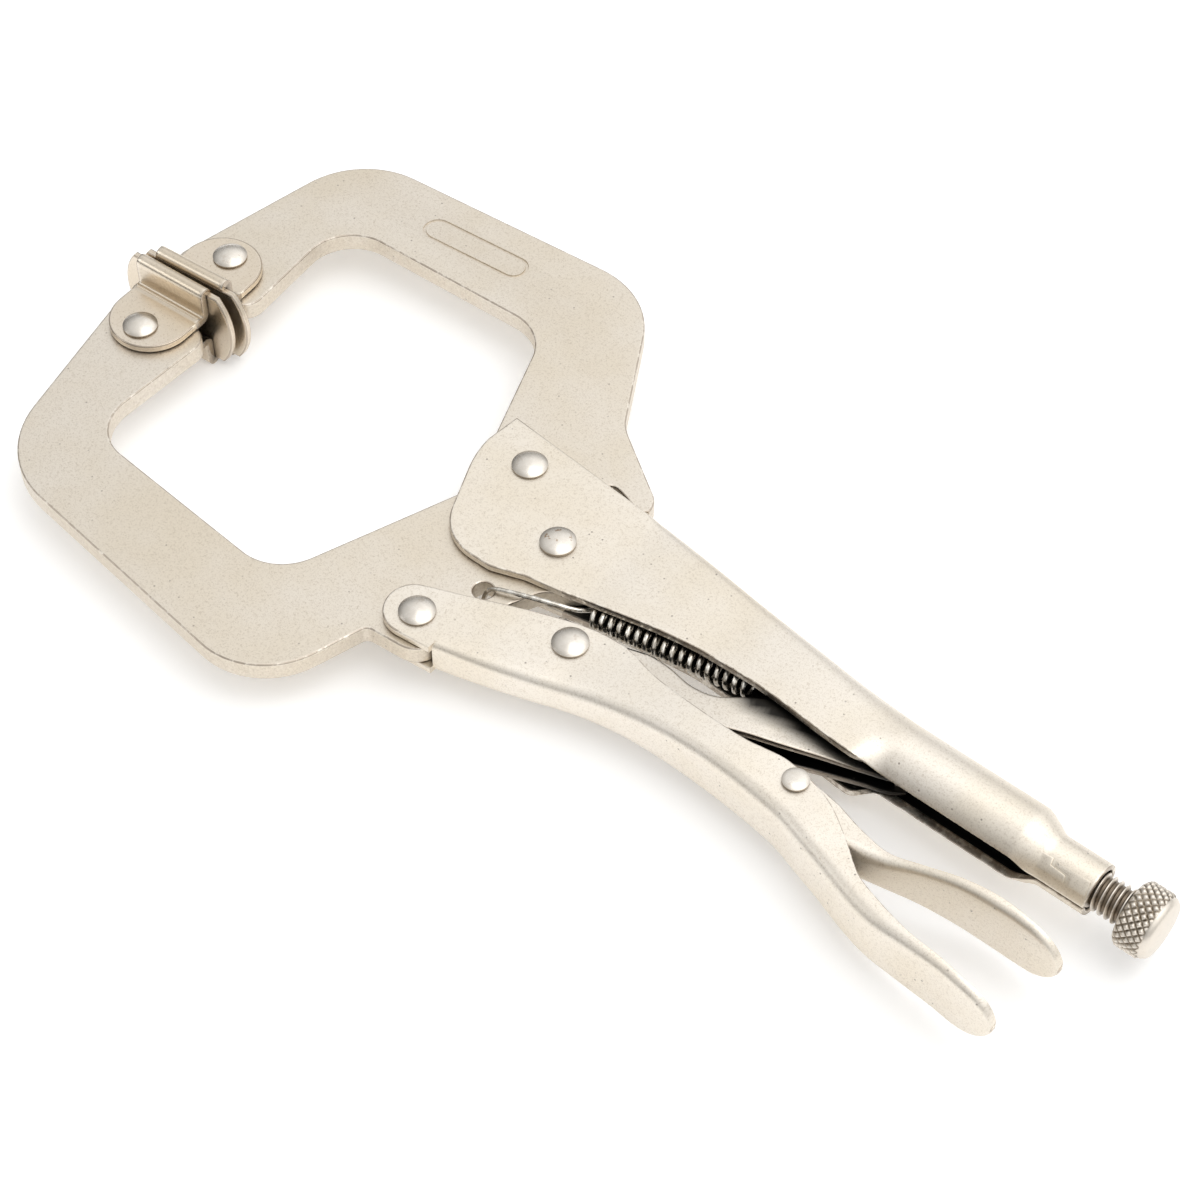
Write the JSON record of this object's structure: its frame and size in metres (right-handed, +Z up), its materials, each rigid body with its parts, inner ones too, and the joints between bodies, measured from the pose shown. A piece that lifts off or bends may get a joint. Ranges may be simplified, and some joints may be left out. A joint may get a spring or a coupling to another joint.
{
  "type": "locking pliers",
  "caption": "Locking C-clamp pliers: two deep C-shaped jaws with swivel pads, an over-centre toggle handle, a release lever and a knurled adjusting screw.",
  "frame": {"origin": "middle of the tool's box, on the surface that the tool lies on (the lower hems of the two pads), jaws closed", "axes": "+X along the handles towards the adjusting knob, +Y towards the upper jaw, +Z up through the flat of the jaw plates"},
  "size_m": [0.2844, 0.1396, 0.0232],
  "materials": {
    "nickel_plate": "satin nickel plate over pressed steel, finely grainy, with tiny dark pits",
    "bright_nickel": "brighter nickel on set rivet heads",
    "spring_steel": "plated drawn wire",
    "screw_steel": "turned and knurled grey-brown steel"
  },
  "bodies": {
    "upper_handle": {"upper_handle": "nickel_plate", "upper_jaw": "nickel_plate", "upper_jaw_rivet": "bright_nickel", "jaw_pivot_rivet": "bright_nickel", "upper_pad_rivet": "bright_nickel", "tension_spring": "spring_steel"},
    "lower_jaw": {"lower_jaw": "nickel_plate", "handle_pivot_rivet": "bright_nickel", "lower_pad_rivet": "bright_nickel"},
    "lower_handle": {"lower_handle": "nickel_plate", "toggle_rivet": "bright_nickel", "release_lever_rivet": "bright_nickel"},
    "toggle_link": {"toggle_link": "nickel_plate"},
    "release_lever": {"release_lever": "nickel_plate"},
    "upper_pad": {"upper_pad": "nickel_plate"},
    "lower_pad": {"lower_pad": "nickel_plate"},
    "adjusting_screw": {"adjusting_screw": "screw_steel"},
    "adjusting_knob": {"adjusting_knob": "screw_steel"}
  },
  "joints": [
    {"name": "jaw_open", "type": "hinge", "parent": "upper_handle", "child": "lower_jaw", "pos_m": [-0.00983, -0.00228, 0.0116], "axis": [0, 0, 1], "range_deg": [0, 20], "deforming": ["tension_spring"]},
    {"name": "handle_fold", "type": "hinge", "parent": "lower_jaw", "child": "lower_handle", "pos_m": [-0.02013, -0.03558, 0.0116], "axis": [0, 0, 1], "range_deg": [-65, 0]},
    {"name": "toggle_fold", "type": "hinge", "parent": "lower_handle", "child": "toggle_link", "pos_m": [0.00997, -0.02148, 0.0116], "axis": [0, 0, 1], "range_deg": [0, 68]},
    {"name": "release_press", "type": "hinge", "parent": "lower_handle", "child": "release_lever", "pos_m": [0.06817, -0.02088, 0.0116], "axis": [0, 0, 1], "range_deg": [-6, 0]},
    {"name": "upper_pad_swivel", "type": "hinge", "parent": "upper_handle", "child": "upper_pad", "pos_m": [-0.12563, 0.01542, 0.0116], "axis": [0, 0, 1], "range_deg": [0, 10.5]},
    {"name": "lower_pad_swivel", "type": "hinge", "parent": "lower_jaw", "child": "lower_pad", "pos_m": [-0.12533, -0.01388, 0.0116], "axis": [0, 0, 1], "range_deg": [-10.5, 0]},
    {"name": "screw_travel", "type": "slide", "parent": "upper_handle", "child": "adjusting_screw", "axis": [1, 0, 0], "range_m": [0, 0.015]},
    {"name": "knob_turn", "type": "hinge", "parent": "adjusting_screw", "child": "adjusting_knob", "pos_m": [0.13817, 0.00052, 0.0116], "axis": [1, 0, 0], "range_deg": [-3610, 0]}
  ],
  "couplings": [
    {"joint": "handle_fold", "follows": "jaw_open", "ratio": -3.2},
    {"joint": "toggle_fold", "follows": "jaw_open", "ratio": 3.32},
    {"joint": "upper_pad_swivel", "follows": "jaw_open", "ratio": 0.5},
    {"joint": "lower_pad_swivel", "follows": "jaw_open", "ratio": -0.5},
    {"joint": "knob_turn", "follows": "screw_travel", "rad_per_m": -4188.8}
  ]
}
